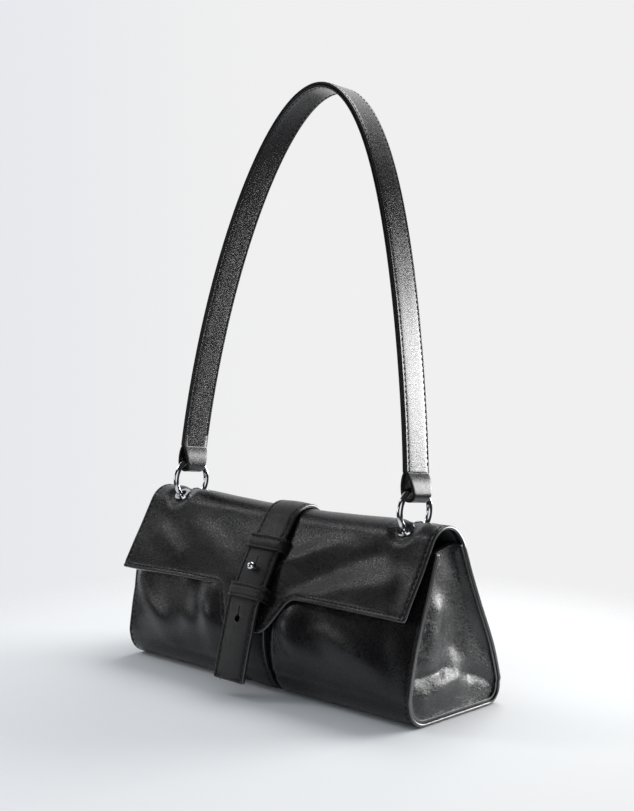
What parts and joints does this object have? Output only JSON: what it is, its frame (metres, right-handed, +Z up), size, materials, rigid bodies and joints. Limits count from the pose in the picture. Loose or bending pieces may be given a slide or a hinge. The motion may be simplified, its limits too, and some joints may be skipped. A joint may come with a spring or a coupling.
{
  "type": "baguette bag",
  "caption": "Black leather baguette bag with a fold-over flap, a belt closure with keepers and a stud, ring-hung shoulder strap and a lined inside.",
  "frame": {"origin": "middle of the base, on the floor", "axes": "+X along the width, to the right as seen from the front; -Y out of the front; +Z up"},
  "size_m": [0.269, 0.1173, 0.4047],
  "materials": {
    "leather": "glossy crinkled black nappa",
    "strap_leather": "glossy grained black strap leather with painted edges",
    "lining": "woven black lining",
    "board": "plain stiffening board",
    "chrome": "polished",
    "steel": "plain plated steel"
  },
  "bodies": {
    "body": {"body_panel": "leather", "gusset_left": "leather", "gusset_right": "leather", "lining": "lining", "lining_end_left": "lining", "lining_end_right": "lining", "base_board": "board", "slip_pocket": "lining", "front_facing": "leather", "back_facing": "leather", "belt_lower": "leather", "snap_socket": "steel"},
    "flap": {"flap": "leather", "flap_lining": "lining", "belt_upper": "leather", "upper_keeper": "leather", "lower_keeper": "leather", "stud": "chrome", "stud_screw": "steel", "eyelet_front_left": "chrome", "eyelet_front_right": "chrome", "eyelet_back_left": "chrome", "eyelet_back_right": "chrome", "eyelet_washers": "steel", "snap_stud": "steel"},
    "tail": {"belt_tail": "leather"},
    "left_ring": {"ring_left": "chrome"},
    "right_ring": {"ring_right": "chrome"},
    "strap": {"strap_outer": "strap_leather", "strap_inner": "strap_leather", "loop_left": "strap_leather", "loop_right": "strap_leather"}
  },
  "joints": [
    {"name": "flap_hinge", "type": "hinge", "parent": "body", "child": "flap", "pos_m": [0, 0.01009, 0.11177], "axis": [-1, 0, 0], "range_deg": [0, 100]},
    {"name": "tail_hinge", "type": "hinge", "parent": "flap", "child": "tail", "pos_m": [0, -0.054, 0.06174], "axis": [-1, 0, 0], "range_deg": [0, 80]},
    {"name": "left_ring_turn", "type": "hinge", "parent": "flap", "child": "left_ring", "pos_m": [-0.10636, -0.008, 0.1273], "axis": [1, 0, 0], "continuous": true},
    {"name": "right_ring_turn", "type": "hinge", "parent": "flap", "child": "right_ring", "pos_m": [0.10636, -0.008, 0.1273], "axis": [1, 0, 0], "continuous": true},
    {"name": "strap_swing", "type": "hinge", "parent": "flap", "child": "strap", "pos_m": [0, -0.008, 0.1273], "axis": [1, 0, 0], "range_deg": [-73, 86]}
  ]
}
